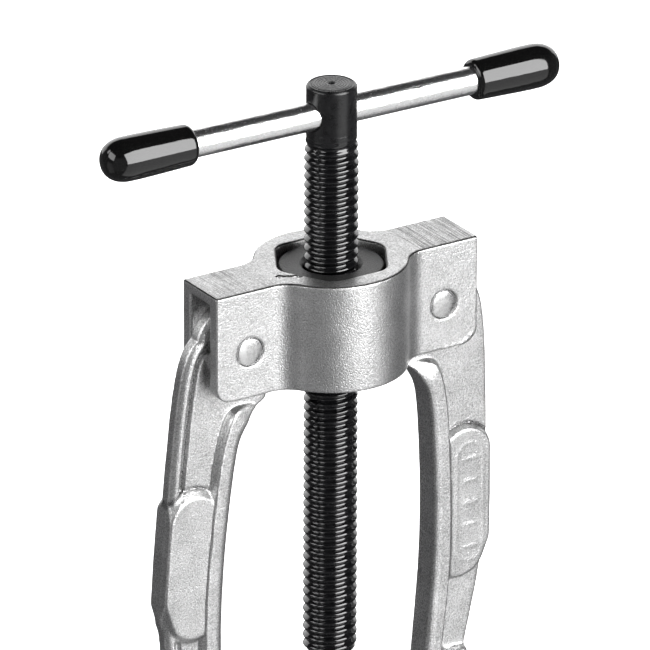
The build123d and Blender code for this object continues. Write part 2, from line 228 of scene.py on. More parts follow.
def slopes(verts, faces):
    """Unit normals at the vertices of a quad mesh."""
    a, b, c, d = (verts[faces[:, i]] for i in range(4))
    normal = np.cross(c - a, d - b)
    total = np.zeros_like(verts)
    for i in range(4):
        np.add.at(total, faces[:, i], normal)
    return total / np.maximum(np.linalg.norm(total, axis=1), 1e-9)[:, None]


def lathe(name, outline, material, matrix, segments=96):
    """A closed turned piece about local Z, from (radius, height) points that start and end on the axis."""
    verts = [(0, 0, outline[0][1])]
    for radius, height in outline[1:-1]:
        for i in range(segments):
            a = 2 * math.pi * i / segments
            verts.append((radius * math.cos(a), radius * math.sin(a), height))
    verts.append((0, 0, outline[-1][1]))
    faces = []
    rows = len(outline) - 2
    last = len(verts) - 1
    for i in range(segments):
        j = (i + 1) % segments
        faces.append((0, 1 + j, 1 + i))
        for row in range(rows - 1):
            low, high = 1 + row * segments, 1 + (row + 1) * segments
            faces.append((low + i, low + j, high + j, high + i))
        top = 1 + (rows - 1) * segments
        faces.append((top + i, top + j, last))
    return mesh_piece(name, verts, faces, material, matrix)


def place(piece, body, slot, *replaced):
    """Rides on a body and stands for the CAD nodes named. The slot argument is not used."""
    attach(piece, body)
    if replaced:
        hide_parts(*replaced)
    return piece


# ---- materials ----

TURNING_FEED = 0.95


class Nodes:
    """A small helper for building a material's node tree."""

    def __init__(self, name):
        self.material = bpy.data.materials.new(name)
        self.material.use_nodes = True
        self.tree = self.material.node_tree
        self.shader = self.tree.nodes["Principled BSDF"]
        self.coords = self.add("ShaderNodeTexCoord")

    def add(self, kind, **values):
        node = self.tree.nodes.new(kind)
        for key, value in values.items():
            setattr(node, key, value)
        return node

    def link(self, source, target):
        self.tree.links.new(source, target)

    def finish(self, colour, roughness, normal, **plain):
        """Wires up the shader, sets the values that are the same all over, and returns the material."""
        self.link(colour, self.shader.inputs["Base Color"])
        self.link(roughness, self.shader.inputs["Roughness"])
        self.link(normal, self.shader.inputs["Normal"])
        for key, value in plain.items():
            self.shader.inputs[key].default_value = value
        return self.material

    def noise(self, size_mm, detail=2.0, rough=0.5, stretch=(1, 1, 1), distortion=0.0):
        """Noise whose lumps are about the given size, read in the piece's own coordinates."""
        place_node = self.add("ShaderNodeMapping")
        self.link(self.coords.outputs["Object"], place_node.inputs["Vector"])
        place_node.inputs["Scale"].default_value = [1 / (size_mm * MM * s) for s in stretch]
        node = self.add("ShaderNodeTexNoise")
        self.link(place_node.outputs["Vector"], node.inputs["Vector"])
        node.inputs["Scale"].default_value = 1.0
        node.inputs["Detail"].default_value = detail
        node.inputs["Roughness"].default_value = rough
        node.inputs["Distortion"].default_value = distortion
        return node.outputs["Fac"]

    def spread(self, source, low, high, out_low=0.0, out_high=1.0, kind="LINEAR"):
        """Maps a value from one range to another, clamped."""
        node = self.add("ShaderNodeMapRange", interpolation_type=kind)
        self.link(source, node.inputs["Value"])
        for key, value in zip(("From Min", "From Max", "To Min", "To Max"), (low, high, out_low, out_high)):
            node.inputs[key].default_value = value
        return node.outputs["Result"]

    def math(self, operation, a, b=None):
        node = self.add("ShaderNodeMath", operation=operation)
        for slot, value in zip(node.inputs, (a, b)):
            if value is None:
                continue
            if isinstance(value, (int, float)):
                slot.default_value = value
            else:
                self.link(value, slot)
        return node.outputs["Value"]

    def ramp(self, source, stops):
        """Colours between stops of (position, grey or colour)."""
        node = self.add("ShaderNodeValToRGB")
        self.link(source, node.inputs["Fac"])
        elements = node.color_ramp.elements
        while len(elements) < len(stops):
            elements.new(0.5)
        for element, (position, colour) in zip(elements, stops):
            element.position = position
            if isinstance(colour, (int, float)):
                colour = (colour, colour, colour)
            element.color = (*colour, 1.0)
        return node.outputs["Color"]

    def mix(self, share, base, colour):
        """A base colour with another laid over it by share."""
        node = self.add("ShaderNodeMix", data_type="RGBA")
        self.link(share, node.inputs["Factor"])
        self.link(base, node.inputs["A"])
        node.inputs["B"].default_value = (*colour, 1.0)
        return node.outputs["Result"]

    def bump(self, height, strength, distance_mm, below=None):
        node = self.add("ShaderNodeBump")
        node.inputs["Strength"].default_value = strength
        node.inputs["Distance"].default_value = distance_mm * MM
        self.link(height, node.inputs["Height"])
        if below is not None:
            self.link(below, node.inputs["Normal"])
        return node.outputs["Normal"]

    def axis(self, output, letter):
        node = self.add("ShaderNodeSeparateXYZ")
        self.link(self.coords.outputs[output], node.inputs["Vector"])
        return node.outputs[letter]


def forged(name, grain_mm, depth_mm, shade, machined_top):
    """Blasted forging with a bright coat: fine pitted grain and faint blotches.

    With a machined top it also has the yoke's milled lines and a painted shadow line under its top edge, and
    without one painted shade darkening the jaws' cracks, pad lip and flange foot.
    """
    n = Nodes(name)
    grain = n.noise(grain_mm, detail=1.0, rough=0.6)
    fine = n.noise(grain_mm * 0.55, detail=1.0, rough=0.6)
    blotch = n.noise(9.0, detail=2.0)
    mixed = n.math("ADD", n.math("MULTIPLY", grain, 0.6), n.math("MULTIPLY", fine, 0.4))
    tone = n.math("ADD", n.math("MULTIPLY", mixed, 0.85), n.math("MULTIPLY", blotch, 0.15))
    low, high = shade
    colour = n.ramp(tone, [(0.36, low), (0.5, (low + high) / 2), (0.64, high)])
    height = n.math("SUBTRACT", mixed, 0.5)
    if machined_top:
        facing = n.axis("Normal", "Z")
        up = n.spread(facing, 0.93, 0.98)
        height = n.math("MULTIPLY", height, n.math("SUBTRACT", 1.0, n.math("MULTIPLY", up, 0.75)))
        lines = n.noise(0.42, detail=2.0, rough=0.8, stretch=(1, 90, 90))
        patches = n.noise(5.0, detail=1.0, stretch=(1, 2, 2))
        away = n.spread(n.math("ABSOLUTE", n.axis("Object", "X")), 27 * MM, 31 * MM, 0.15, 1.0)
        patchy = n.spread(patches, 0.32, 0.60, 0.45, 1.0)
        more_right = n.spread(n.axis("Object", "X"), -35 * MM, 35 * MM, 0.75, 1.5)
        worn = n.math("MULTIPLY", patchy, more_right)
        strength = n.math("MULTIPLY", n.math("MULTIPLY", up, away), worn)
        scored = n.math("MULTIPLY", n.spread(lines, 0.50, 0.40), strength)
        colour = n.mix(scored, colour, (0.20, 0.20, 0.20))
        height = n.math("SUBTRACT", height, n.math("MULTIPLY", scored, 0.3))
        # painted shadow: a near-black band on the side faces just under the top edge, standing in for the edge's
        # shade
        top_edge_shadow_band = n.spread(n.axis("Object", "Z"), (TOP - 0.62) * MM, (TOP - 0.35) * MM)
        top_edge_shadow = n.math("MULTIPLY", top_edge_shadow_band, n.spread(facing, 0.97, 0.80))
        colour = n.mix(top_edge_shadow, colour, (0.035, 0.034, 0.033))
    else:
        # painted shade: the jaws' crack, the pad's upper lip and the flange's foot go nearly black, broken up by
        # fine noise
        crease_shade = n.add("ShaderNodeAttribute", attribute_name="crease_shade").outputs["Fac"]
        speckled = n.math("MULTIPLY", crease_shade, n.spread(fine, 0.62, 0.38, 0.35, 1.0))
        colour = n.mix(speckled, colour, (0.012, 0.012, 0.012))
    normal = n.bump(height, 1.0, depth_mm)
    return n.finish(colour, n.spread(mixed, 0.35, 0.65, 0.44, 0.30), normal, Metallic=1.0)


def bright_pin():
    """A riveted end: peened, a little scuffed."""
    n = Nodes("pin_steel")
    scuff = n.noise(1.6, detail=4.0, rough=0.6)
    colour = n.ramp(scuff, [(0.3, 0.50), (0.7, 0.70)])
    return n.finish(colour, n.spread(scuff, 0.35, 0.7, 0.22, 0.36), n.bump(scuff, 0.25, 0.15), Metallic=1.0)


def black_oxide(name, roughness, ior, turned_top):
    """Oiled black oxide: nearly black, a faint blue-grey where it is rubbed, and ringed on a turned top."""
    n = Nodes(name)
    rubbed = n.noise(2.4, detail=4.0, rough=0.65)
    streaks = n.noise(0.5, detail=2.0, stretch=(8, 8, 1))
    colour = n.ramp(rubbed, [(0.35, (0.001, 0.001, 0.0012)), (0.72, (0.004, 0.004, 0.0045))])
    sheen = n.spread(rubbed, 0.3, 0.7, roughness, roughness + 0.10)
    normal = n.bump(streaks, 0.10, 0.05)
    if turned_top:
        radius = n.add("ShaderNodeVectorMath", operation="LENGTH")
        flat = n.add("ShaderNodeCombineXYZ")
        n.link(n.axis("Object", "X"), flat.inputs["X"])
        n.link(n.axis("Object", "Y"), flat.inputs["Y"])
        n.link(flat.outputs["Vector"], radius.inputs[0])
        wobble = n.math("MULTIPLY", n.noise(3.0), 0.4 * MM)
        reach = n.math("ADD", radius.outputs["Value"], wobble)
        rings = n.math("SINE", n.math("MULTIPLY", reach, 2 * math.pi / (TURNING_FEED * MM)))
        up = n.spread(n.axis("Normal", "Z"), 0.9, 0.97)
        normal = n.bump(n.math("MULTIPLY", rings, up), 1.0, 0.05, normal)
    return n.finish(colour, sheen, normal, Metallic=0.0, IOR=ior)


def matte_black():
    """Blackened nut: even, dull, finely grained."""
    n = Nodes("nut_black")
    grain = n.noise(0.7, detail=3.0, rough=0.6)
    colour = n.ramp(grain, [(0.35, 0.006), (0.65, 0.020)])
    sheen = n.spread(grain, 0.3, 0.7, 0.34, 0.44)
    return n.finish(colour, sheen, n.bump(grain, 1.0, 0.25), Metallic=0.0, IOR=1.6)


def chrome():
    """Bright chrome on drawn bar: faint lengthwise waviness and pinprick dulling."""
    n = Nodes("chrome")
    specks = n.noise(0.45, detail=3.0, rough=0.6)
    waves = n.noise(1.4, detail=3.0, rough=0.55, stretch=(3, 1, 1))
    colour = n.ramp(specks, [(0.32, 0.62), (0.6, 0.80)])
    sheen = n.spread(specks, 0.35, 0.7, 0.17, 0.28)
    return n.finish(colour, sheen, n.bump(specks, 0.5, 0.10, n.bump(waves, 0.4, 0.25)), Metallic=1.0)


def vinyl():
    """Dipped vinyl cap: black, glossy, with soft unevenness and a few dust pits."""
    n = Nodes("cap_vinyl")
    soft = n.noise(7.0, detail=1.5)
    dust = n.noise(0.35, detail=2.0, rough=0.7)
    colour = n.ramp(dust, [(0.45, 0.001), (0.78, 0.006)])
    sheen = n.spread(dust, 0.5, 0.8, 0.07, 0.16)
    return n.finish(colour, sheen, n.bump(dust, 0.05, 0.05, n.bump(soft, 0.15, 0.5)), IOR=1.52)


def ground_steel(name, low, high, roughness):
    """Hardened and ground, with fine rings round the spindle's axis."""
    n = Nodes(name)
    marks = n.noise(0.25, detail=2.0, stretch=(10, 10, 1))
    colour = n.ramp(marks, [(0.3, low), (0.7, high)])
    sheen = n.spread(marks, 0.3, 0.7, roughness, roughness + 0.12)
    return n.finish(colour, sheen, n.bump(marks, 0.15, 0.05), Metallic=1.0)


# ---- yoke ----

BOSS_RADIUS = YOKE_HIGH.y
WING_HALF = 10.5
WING_START = 24.0
WING_END = YOKE_HIGH.x
WING_CORNER = 6.4
YOKE_HEIGHT = YOKE_HIGH.z - YOKE_LOW.z
BOSS_BLEND = 10.0
CHANNEL_HALF = 5.85
CHANNEL_START = 24.2
CHANNEL_ROOF = 3.6
CHANNEL_CORNER = 3.0
POCKET_FLAT = 18.0
POCKET_CORNER = 6.5
SEAT_RADIUS = 21.8
SEAT_ROOF = 28.0
RING_GROOVE_RADIUS = 22.72
RING_GROOVE_DROP = 34.87
RING_GROOVE_HALF = 0.77
PIN_DROP = TOP - PIN_Z
PIN_HOLE = 5.05
PIN_MOUTH = 0.12
PUNCH_ENDS = ((-23.1, -4.9), (-17.6, -7.8))
PUNCH_LINE = 0.55
PUNCH_DOT = 1.15
PUNCH_DEPTH = 1.0
ROUGHNESS = 0.04
LUMP_SIZE = 7.0
BOSS_SKIN = 24.5
WING_SKIN = 9.6
# the forging's flash left at the right wing's lower corner: x, distance below the top, radius
FLASH_BURRS = ((48.2, 34.9, 0.6), (46.4, 36.4, 0.7), (44.6, 37.1, 0.6), (41.6, 37.3, 0.5), (38.9, 37.4, 0.5))


def yoke_plan():
    """Half-round boss, hollow blends and straight wings, seen from above."""
    reach = BOSS_RADIUS + BOSS_BLEND
    rise = WING_HALF + BOSS_BLEND
    across = math.sqrt(reach ** 2 - rise ** 2)
    turn = math.degrees(math.atan2(rise, across))
    quarter = arc((0, 0), BOSS_RADIUS, 90, turn, 24) + arc((across, rise), BOSS_BLEND, turn + 180, 270, 12)
    quarter.append((WING_END, WING_HALF))
    right = quarter + [(u, -v) for u, v in reversed(quarter)]
    return right + [(-u, v) for u, v in reversed(right)]


def capsule(u, v, start, end, radius):
    """A line with round ends, as a flat distance."""
    du, dv = end[0] - start[0], end[1] - start[1]
    along = np.clip(((u - start[0]) * du + (v - start[1]) * dv) / (du * du + dv * dv), 0, 1)
    return np.hypot(u - start[0] - along * du, v - start[1] - along * dv) - radius


def yoke_field(x, y, z):
    """The yoke with its top at z = 0."""
    plan = polygon_field(yoke_plan(), x, y) + ROUGHNESS
    below_u = np.abs(x) - (WING_END - WING_CORNER)
    below_v = -z - (YOKE_HEIGHT - WING_CORNER)
    beyond = np.hypot(np.maximum(below_u, 0), np.maximum(below_v, 0))
    ends = beyond + np.minimum(np.maximum(below_u, below_v), 0) - WING_CORNER
    body = round_and(round_and(plan, ends, 0.45), z + 0 * x, 0.42)
    channel = round_and(CHANNEL_START - np.abs(x), z + CHANNEL_ROOF, CHANNEL_CORNER)
    channel = round_and(channel, np.abs(y) - CHANNEL_HALF, 0.5)
    body = round_and(body, -channel, 0.45)
    body = round_and(body, -hex_field(x, y, POCKET_FLAT, POCKET_CORNER), 0.4)
    radius = np.hypot(x, y)
    body = round_and(body, -np.maximum(radius - SEAT_RADIUS, z + SEAT_ROOF), 0.3)
    groove = np.maximum(radius - RING_GROOVE_RADIUS, np.abs(z + RING_GROOVE_DROP) - RING_GROOVE_HALF)
    body = np.maximum(body, -groove)
    from_pin = np.hypot(np.abs(x) - PIN_X, z + PIN_DROP)
    mouth_cut = PIN_MOUTH * smooth((np.abs(y) - (WING_HALF - 0.6)) / 0.3)
    body = round_and(body, PIN_HOLE + mouth_cut - from_pin, 0.15)
    for burr_x, burr_z, size in FLASH_BURRS:
        burr = np.sqrt((x - burr_x) ** 2 + (y + WING_HALF - 0.2) ** 2 + (z + burr_z) ** 2) - size
        body = round_or(body, burr, 0.3)
    mark = capsule(x, y, *PUNCH_ENDS, PUNCH_LINE)
    for end_x, end_y in PUNCH_ENDS:
        mark = np.minimum(mark, np.hypot(x - end_x, y - end_y) - PUNCH_DOT)
    return np.maximum(body, -np.maximum(mark, -PUNCH_DEPTH - z))


def forged_skin(verts):
    """1 on the yoke's forged faces, 0 on its machined top, pocket, channels and bottom."""
    x, y, z = np.abs(verts[:, 0]), np.abs(verts[:, 1]), verts[:, 2]
    outer = np.where(x < WING_START, np.hypot(x, y) > BOSS_SKIN, y > WING_SKIN)
    return outer * smooth((-z - 0.8) / 3.0) * smooth((z + YOKE_HEIGHT) / 2.0)


def build_yoke(material):
    x, y, z = grid((-WING_END, -BOSS_RADIUS, -YOKE_HEIGHT), (WING_END, BOSS_RADIUS, 0), 0.5)
    verts, faces = skin(round_and(yoke_field(x, y, z), -YOKE_HEIGHT - z + 0 * x, 0.5), x, y, z)
    verts = roughen(verts, slopes(verts, faces), ROUGHNESS, LUMP_SIZE, 3, forged_skin)
    piece = mesh_piece("yoke_forging", verts, faces.tolist(), material, Matrix.Translation((0, 0, TOP * MM)))
    return place(piece, "yoke", "forged_steel", "yoke")


# ---- jaws: u outwards from the pin, v up from the pin, y through ----

FLANGE_HALF = 5.6
FLANGE_ROUND = 2.8
FLANGE_ROUND_DROP = 0.9
FLANGE_SLOPE = 0.35
FLANGE_TOP = -19.5
LUG_TOP = -22.6
LUG_SLOPE = 0.5
WEB_HALF = 2.3
WEB_LIFT = 0.25
BEAD_RADIUS = 2.6
BEAD_SHIFT = 0.75
CRACK_DEPTH = 4.6
CRACK_RADIUS = 1.15
CRACK_FLATTENED = 0.8
PAD_HALF = 4.9
PAD_BEVEL_PLUS_Y = 2.6
PAD_BEVEL_MINUS_Y = 1.4
PAD_RADIUS = 11.0
CREASE_DEPTH = 0.45
RELIEF_HEIGHT = 0.12
BORDER_U = 14.4
BORDER_TOP = -60.5
BORDER_LOW = -93.0
BORDER_RADIUS = 5.2
BORDER_HALF = 0.35
RIB_REACH = 2.2
RIB_HEIGHTS = (-61.0, -69.0, -77.0, -85.0, -93.0)
RIB_HALF = 0.6
EYE_HALF = 5.7
EYE_RADIUS = 12.3
HEAD_RADIUS = 14.2
HEAD_OFFSET = 1.7
HOOK_DEPTH = 11.0
HOOK_HALF = 5.2
HOOK_START = -128.0
HOOK_TIP = 19.0 - PIN_X
HOOK_FILLET = 5.2
HOOK_LIP = 1.2
HOOK_TOE = 4.0
HOOK_HEEL = 9.0
BEAD_TOP = -12.0
BEAD_LOW = -130.0
OUTER_REACH = 23.2


def jaw_outline():
    """Eye, bowed arm and hook."""
    inner = curve_through([
        (HEAD_OFFSET - HEAD_RADIUS, 0), (-12.2, -9.0), (-11.8, -15.0), (-12.0, -17.2), (-12.9, -19.2),
        (-12.4, -20.9), (-10.2, -22.6), (-7.6, -24.4), (-5.4, -27.4), (-2.1, -34.6), (-0.5, -50.0),
        (0.4, -74.0), (0.0, -95.0), (-1.1, -110.7), (-3.4, -136.0)
    ])
    fillet = arc((-3.9 - HOOK_FILLET, -GRIP_DROP + HOOK_FILLET), HOOK_FILLET, 0, -90, 8)
    lip = arc((HOOK_TIP + HOOK_LIP, -GRIP_DROP - HOOK_LIP), HOOK_LIP, 90, 180, 4)
    foot_v = -GRIP_DROP - HOOK_DEPTH
    toe = arc((HOOK_TIP + HOOK_TOE, foot_v + HOOK_TOE), HOOK_TOE, 180, 270, 8)
    heel = arc((-0.5, foot_v + HOOK_HEEL), HOOK_HEEL, -90, -20, 10)
    outer = curve_through([
        (12.6, -137.0), (16.2, -121.0), (18.9, -109.0), (20.3, -101.2), (22.0, -96.5), (22.5, -90.0),
        (22.7, -76.0), (22.6, -55.0), (22.2, -36.0), (21.6, -20.0), (20.4, -8.0), (18.6, -1.5), (16.6, 1.9)
    ])
    crown = arc((HEAD_OFFSET, 0), HEAD_RADIUS, 12, 180, 28)
    return inner + fillet + lip + toe + heel + outer + crown[:-1]


def pad_outline():
    """The raised pad: a shallow arch above, another below, and the arm's edge on its outer side."""
    top = arc((13.0, -60.2), PAD_RADIUS, 168, 25, 20)
    low = arc((10.6, -93.2), PAD_RADIUS, -28, -172, 20)
    return top + [(26.5, -64.0), (26.5, -84.0)] + low


def web_outline():
    """The hollowed web: an arch under the eye, the inner flange and a round foot, open at the outer edge."""
    flange = curve_through([
        (-16.0, -24.8), (-9.6, -23.6), (-4.6, -22.2), (1.4, -25.0), (4.8, -38.0), (6.2, -58.0),
        (6.8, -82.0), (6.1, -103.0), (3.4, -127.0)
    ])
    foot = arc((7.2, -127.0), 3.8, 190, 300, 8)
    return flange + foot + [(24.0, -131.0), (34.0, -80.0), (30.0, 6.0), (-16.0, 6.0)]


def jaw_regions(u, v):
    """Flat distances from the whole jaw's outline, the pad's and the web's."""
    return [polygon_field(outline, u, v) for outline in (jaw_outline(), pad_outline(), web_outline())]


def jaw_crease_shade(u, y, v):
    """How much painted shade darkens each point: in the bead's crack, on the pad's upper lip, at the flange's
    foot.
    """
    arm, pad, web = jaw_regions(u, v)
    beside_bead = (u > 9) & (pad > 0.5) & (v > -56) & (v < 2)
    upper_lip = (u > 7) & (v > -62)
    upper_flange = (v > -50) & (v < -27)
    on_shoulder = np.abs(y) > 3.6
    crack = np.abs(-arm - CRACK_DEPTH - 0.1) / 0.9 + np.maximum(0, -y) * 4
    crack = np.maximum(crack, np.where(beside_bead, 0, 2))
    lip = np.abs(pad - 0.5) / 0.8 + np.where(upper_lip, 0, 2)
    foot = np.abs(web - 0.1) / 0.5 + np.where(upper_flange, 0, 2) + on_shoulder * 2
    return 0.95 * smooth(1.3 - crack) + 0.9 * smooth(1.3 - lip) + 0.7 * smooth(1.2 - foot)


def jaw_half(u, y, v, arm, pad, web):
    """Half the jaw's thickness: a thin web, with the flange, hook, pad and eye standing out from it."""
    depth = np.maximum(-arm, 0)
    shoulder = FLANGE_HALF - FLANGE_ROUND_DROP * np.clip(1 - depth / FLANGE_ROUND, 0, 1) ** 2
    thin = WEB_HALF + WEB_LIFT + FLANGE_SLOPE * depth + LUG_SLOPE * np.maximum(LUG_TOP - v, 0)
    shoulder = soft_min(shoulder, thin, 1.2)
    shoulder = shoulder + (HOOK_HALF - shoulder) * smooth((HOOK_START - v) / 8.0)
    rise = smooth((web + 1.2) / 1.5) * smooth((FLANGE_TOP - v) / 4.0)
    half = WEB_HALF + (shoulder - WEB_HALF) * rise
    bevel = np.clip((0.3 - pad) / np.where(y > 0, PAD_BEVEL_PLUS_Y, PAD_BEVEL_MINUS_Y), 0, 1)
    half = np.maximum(half, WEB_HALF + (PAD_HALF - WEB_HALF) * (0.75 * bevel + 0.25 * smooth(bevel)))
    eye = smooth((EYE_RADIUS + 0.4 - np.hypot(u, v)) / 1.6)
    half = np.maximum(half, WEB_HALF + (EYE_HALF - WEB_HALF) * eye)
    crease = CREASE_DEPTH * smooth(1 - np.abs(pad - 0.35) / 0.55) * smooth((u - 6.5) / 1.5) * (v > -75)
    relief = RELIEF_HEIGHT * pad_relief(u, v) * (y < 0)
    return half - crease + relief


def jaw_field(u, y, v):
    """A jaw with its pin at u = 0, v = 0: rounded edges, a bead down the outside and a crack beside it."""
    arm, pad, web = jaw_regions(u, v)
    body = round_and(arm, np.abs(y) - jaw_half(u, y, v, arm, pad, web), 0.6)
    bead = np.hypot(-arm - BEAD_RADIUS, y - BEAD_SHIFT) - BEAD_RADIUS
    outer = np.maximum(np.where(v > BEAD_TOP, 0.5, 9.0) - u, BEAD_LOW - v)
    body = round_or(body, round_and(bead, outer, 2.0), 0.35)
    crack = np.hypot(-arm - CRACK_DEPTH, (y - WEB_HALF - 0.3) * CRACK_FLATTENED) - CRACK_RADIUS
    crack = np.maximum(crack, np.maximum(outer, 0.6 - pad))
    body = np.maximum(body, -crack)
    return np.maximum(body, PIN_HOLE - np.hypot(u, v))


def pad_relief(u, v):
    """A plain raised border with five cross ribs: 1 on it, 0 off it."""
    oval = capsule(u, v, (BORDER_U, BORDER_TOP), (BORDER_U, BORDER_LOW), BORDER_RADIUS)
    border = np.abs(oval) - BORDER_HALF
    for height in RIB_HEIGHTS:
        rib = capsule(u, v, (BORDER_U - RIB_REACH, height), (BORDER_U + RIB_REACH, height), RIB_HALF)
        border = np.minimum(border, rib)
    return smooth(0.5 - border / 0.8)


def build_jaws(material):
    low = (HOOK_TIP, -FLANGE_HALF, -GRIP_DROP - HOOK_DEPTH)
    high = (OUTER_REACH, FLANGE_HALF, HEAD_RADIUS)
    x, y, z = grid(low, high, 0.5)
    verts, faces = skin(jaw_field(x, y, z), x, y, z)
    # painted shade: how dark each crease is painted, kept on each jaw as a vertex layer
    crease_shade = jaw_crease_shade(verts[:, 0], verts[:, 1], verts[:, 2])
    verts = roughen(verts, slopes(verts, faces), ROUGHNESS, 6.0, 8)
    right = Matrix.Translation((PIN_X * MM, 0, PIN_Z * MM))
    left = Matrix.Translation((-PIN_X * MM, 0, PIN_Z * MM)) @ Matrix.Rotation(LEFT_TILT, 4, "Y")
    left = left @ Matrix.Rotation(math.pi, 4, "Z")
    for side, matrix in (("right", right), ("left", left)):
        piece = mesh_piece(f"{side}_jaw_forging", verts, faces.tolist(), material, matrix)
        layer = piece.data.attributes.new("crease_shade", "FLOAT", "POINT")
        layer.data.foreach_set("value", np.clip(crease_shade, 0, 1).astype(np.float32))
        place(piece, f"{side}_jaw", "jaw_steel", f"{side}_jaw")


# ---- nut ----

NUT_FLAT = 17.8
NUT_CORNER = 7.5
NUT_TOP = -2.0
NUT_BOTTOM = -34.0
NUT_COLLAR_RADIUS = 17.4
NUT_HEX_TOP = -6.0
NUT_FLANGE_RADIUS = 21.7
NUT_FLANGE_MIDDLE = -31.02
NUT_FLANGE_HALF = 3.0
NUT_BORE = 9.06
BORE_CHAMFER = 1.3


def nut_field(x, y, z):
    """A hexagon under a round collar, with a flange below, bored through."""
    hexagon = hex_field(x, y, NUT_FLAT, NUT_CORNER)
    radius = np.hypot(x, y)
    collar = round_and(radius - NUT_COLLAR_RADIUS, z - NUT_TOP, 0.35)
    body = np.minimum(collar, np.maximum(hexagon, z - NUT_HEX_TOP))
    body = np.maximum(body, NUT_BOTTOM - z)
    flange = round_and(radius - NUT_FLANGE_RADIUS, np.abs(z - NUT_FLANGE_MIDDLE) - NUT_FLANGE_HALF, 0.4)
    body = np.minimum(body, flange)
    bore = NUT_BORE + BORE_CHAMFER * (smooth((z + 3.6) / 1.6) + smooth((-z - 32.6) / 1.4))
    return round_and(body, bore - radius, 0.15)


def build_nut(material):
    low = (-NUT_FLANGE_RADIUS, -NUT_FLANGE_RADIUS, NUT_FLANGE_MIDDLE - NUT_FLANGE_HALF)
    x, y, z = grid(low, (NUT_FLANGE_RADIUS, NUT_FLANGE_RADIUS, NUT_TOP), 0.45)
    verts, faces = skin(nut_field(x, y, z), x, y, z)
    translation = Matrix.Translation((0, 0, TOP * MM))
    piece = mesh_piece("spindle_nut_body", verts, faces.tolist(), material, translation)
    return place(piece, "yoke", "nut_black", "spindle_nut")


# ---- pins ----

RIVET_RADIUS = 5.0
RIVET_RIM = 4.86
DOME_RADIUS = 4.6
DOME_RISE = 0.55


def build_pins(material):
    end = WING_HALF
    rim = [(RIVET_RIM, end - 0.65), (RIVET_RADIUS, end - 1.0), (RIVET_RADIUS, 0)]
    angles = [math.radians(a) for a in range(0, 91, 6)]
    dome = [(DOME_RADIUS * math.sin(a), end - 0.45 + DOME_RISE * math.cos(a)) for a in angles]
    half = dome + rim
    outline = half + [(r, -h) for r, h in reversed(half[:-1])]
    turn = Matrix.Rotation(math.radians(90), 4, "X")
    for side, sign in (("left", -1), ("right", 1)):
        matrix = Matrix.Translation((sign * PIN_X * MM, 0, PIN_Z * MM)) @ turn
        piece = lathe(f"{side}_rivet", outline, material, matrix, 64)
        place(piece, "yoke", "pin_steel", f"{side}_pivot_pin")


# ---- spindle ----

THREAD_RADIUS = 9.0
THREAD_DEPTH = 1.3
PITCH = 3.175
THREAD_TOP = 44.6 + TOP
RUN_OUT = 9.0
END_CHAMFER = 1.5
COLUMNS = 112
ROWS_A_TURN = 14
SOCKET_RADIUS = 3.05
SOCKET_DEPTH = 15.0
SPINDLE_HEAD_RADIUS = 8.4
HEAD_CHAMFER = 0.8
HEAD_RING_RADIUS = 6.9
HEAD_RING_DEPTH = 0.22
CENTRE_RADIUS = 1.3
CROSS_HOLE_RADIUS = 4.8


def build_thread(material):
    """A right-hand knuckle thread that runs out under the head, with a chamfered and bored lower end."""
    low, high = SPINDLE_LOW.z, THREAD_TOP + 1.0
    count = int((high - low) / PITCH * ROWS_A_TURN)
    z = np.linspace(low, high, count)[:, None]
    a = np.linspace(0, 2 * math.pi, COLUMNS, endpoint=False)[None, :]
    phase = (z / PITCH - a / (2 * math.pi)) % 1.0
    groove = 0.5 + 0.5 * np.cos(2 * math.pi * phase)
    full = smooth((THREAD_TOP - z) / RUN_OUT)
    deep = 1 - (1 - full) ** 2
    necked = (THREAD_RADIUS - SPINDLE_HEAD_RADIUS) * (1 - full)
    radius = THREAD_RADIUS - THREAD_DEPTH * groove * deep - necked
    radius = np.minimum(radius, THREAD_RADIUS - END_CHAMFER + (z - low))
    verts = np.stack([radius * np.cos(a), radius * np.sin(a), z + 0 * a], axis=-1).reshape(-1, 3).tolist()
    i = np.arange(COLUMNS)
    j = (i + 1) % COLUMNS
    rows = []
    for base in range(0, (count - 1) * COLUMNS, COLUMNS):
        rows.append(np.stack([base + i, base + j, base + COLUMNS + j, base + COLUMNS + i], axis=1))
    faces = np.concatenate(rows).tolist()
    mouth = len(verts)
    for height in (low, low + SOCKET_DEPTH):
        verts += [[u, v, height] for u, v in arc((0, 0), SOCKET_RADIUS, 0, 360, COLUMNS)[:-1]]
    verts += [[0, 0, low + SOCKET_DEPTH], [0, 0, high]]
    floor = mouth + COLUMNS
    socket_centre = floor + COLUMNS
    top_centre = socket_centre + 1
    last = (count - 1) * COLUMNS
    for k in range(COLUMNS):
        m = (k + 1) % COLUMNS
        faces.append([m, k, mouth + k, mouth + m])
        faces.append([mouth + m, mouth + k, floor + k, floor + m])
        faces.append([floor + m, floor + k, socket_centre])
        faces.append([last + k, last + m, top_centre])
    return place(mesh_piece("spindle_thread", verts, faces, material), "spindle", "black_oxide", "spindle")


def head_field(x, y, z):
    """The turned head: chamfered top, shallow centre, cross hole with a broken edge. z is 0 at its top."""
    radius = np.hypot(x, y)
    side = radius - SPINDLE_HEAD_RADIUS
    body = np.maximum(side, z + 0 * x)
    body = round_and(body, (side + z + HEAD_CHAMFER) * math.sqrt(0.5), 0.12)
    ring = np.maximum(np.abs(radius - HEAD_RING_RADIUS) - 0.2, -HEAD_RING_DEPTH - z)
    body = np.maximum(body, -ring)
    body = np.maximum(body, -(np.sqrt(radius ** 2 + (z - 0.5) ** 2) - CENTRE_RADIUS))
    across = x * BAR_AXIS.y - y * BAR_AXIS.x
    drop = z + (SPINDLE_HIGH.z - BAR_Z)
    return round_and(body, CROSS_HOLE_RADIUS - np.hypot(across, drop), 0.45)


